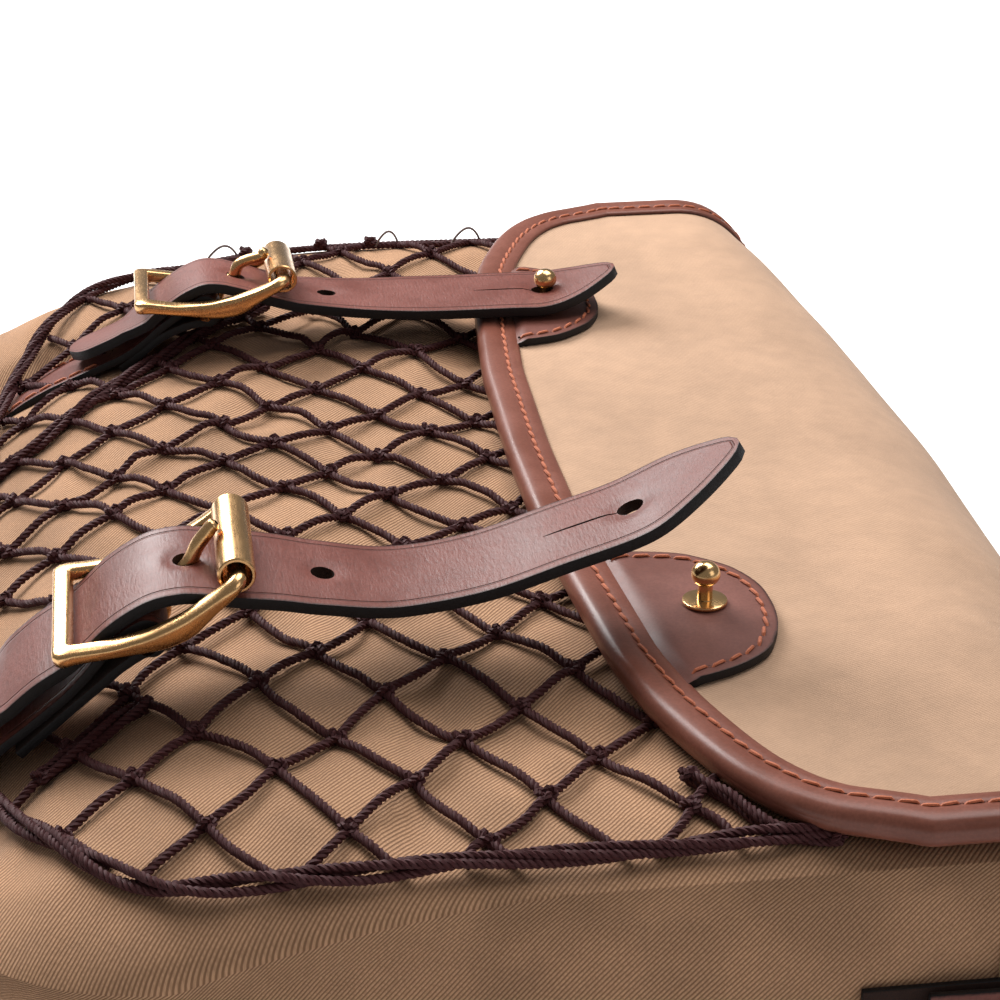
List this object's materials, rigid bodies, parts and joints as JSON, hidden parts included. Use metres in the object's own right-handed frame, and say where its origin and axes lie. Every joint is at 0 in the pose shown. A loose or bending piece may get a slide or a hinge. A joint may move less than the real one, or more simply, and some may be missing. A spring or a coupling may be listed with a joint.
{
  "type": "hunting game bag",
  "caption": "Canvas game bag lying on its back, with a front net pocket, a leather-bound flap and buckled straps that close on ball studs.",
  "frame": {"origin": "centre of the bounding box's footprint, on the surface the bag lies on", "axes": "+X from the bag's bottom to the fold of its flap, +Y across its width, +Z from the back panel up to the front"},
  "size_m": [0.3011, 0.431, 0.1312],
  "materials": {
    "body": "woven twill, proofed",
    "flap": "woven twill, proofed",
    "flap_binding": "smooth bridle leather, dyed edges",
    "net": "two-ply twisted cotton twine, dyed",
    "net_border": "two-ply twisted cotton twine, dyed",
    "net_lacing": "smooth cotton cord",
    "stud_tab_near": "smooth bridle leather, dyed edges",
    "stud_near": "polished, a little worn",
    "strap_near": "smooth bridle leather, dyed edges",
    "buckle_strap_near": "smooth bridle leather, dyed edges",
    "buckle_frame_near": "polished, a little worn",
    "roller_near": "polished, a little worn",
    "prong_near": "polished, a little worn",
    "sling_tab_near": "smooth bridle leather, dyed edges",
    "sling_ring_near": "polished, a little worn",
    "stud_tab_far": "smooth bridle leather, dyed edges",
    "stud_far": "polished, a little worn",
    "strap_far": "smooth bridle leather, dyed edges",
    "buckle_strap_far": "smooth bridle leather, dyed edges",
    "buckle_frame_far": "polished, a little worn",
    "roller_far": "polished, a little worn",
    "prong_far": "polished, a little worn",
    "sling_tab_far": "smooth bridle leather, dyed edges",
    "sling_ring_far": "polished, a little worn"
  },
  "bodies": {
    "root": {"body": "body", "flap": "flap", "flap_binding": "flap_binding", "net": "net", "net_border": "net_border", "net_lacing": "net_lacing", "stud_tab_near": "stud_tab_near", "stud_near": "stud_near", "strap_near": "strap_near", "buckle_strap_near": "buckle_strap_near", "buckle_frame_near": "buckle_frame_near", "roller_near": "roller_near", "prong_near": "prong_near", "sling_tab_near": "sling_tab_near", "sling_ring_near": "sling_ring_near", "stud_tab_far": "stud_tab_far", "stud_far": "stud_far", "strap_far": "strap_far", "buckle_strap_far": "buckle_strap_far", "buckle_frame_far": "buckle_frame_far", "roller_far": "roller_far", "prong_far": "prong_far", "sling_tab_far": "sling_tab_far", "sling_ring_far": "sling_ring_far"}
  },
  "joints": []
}
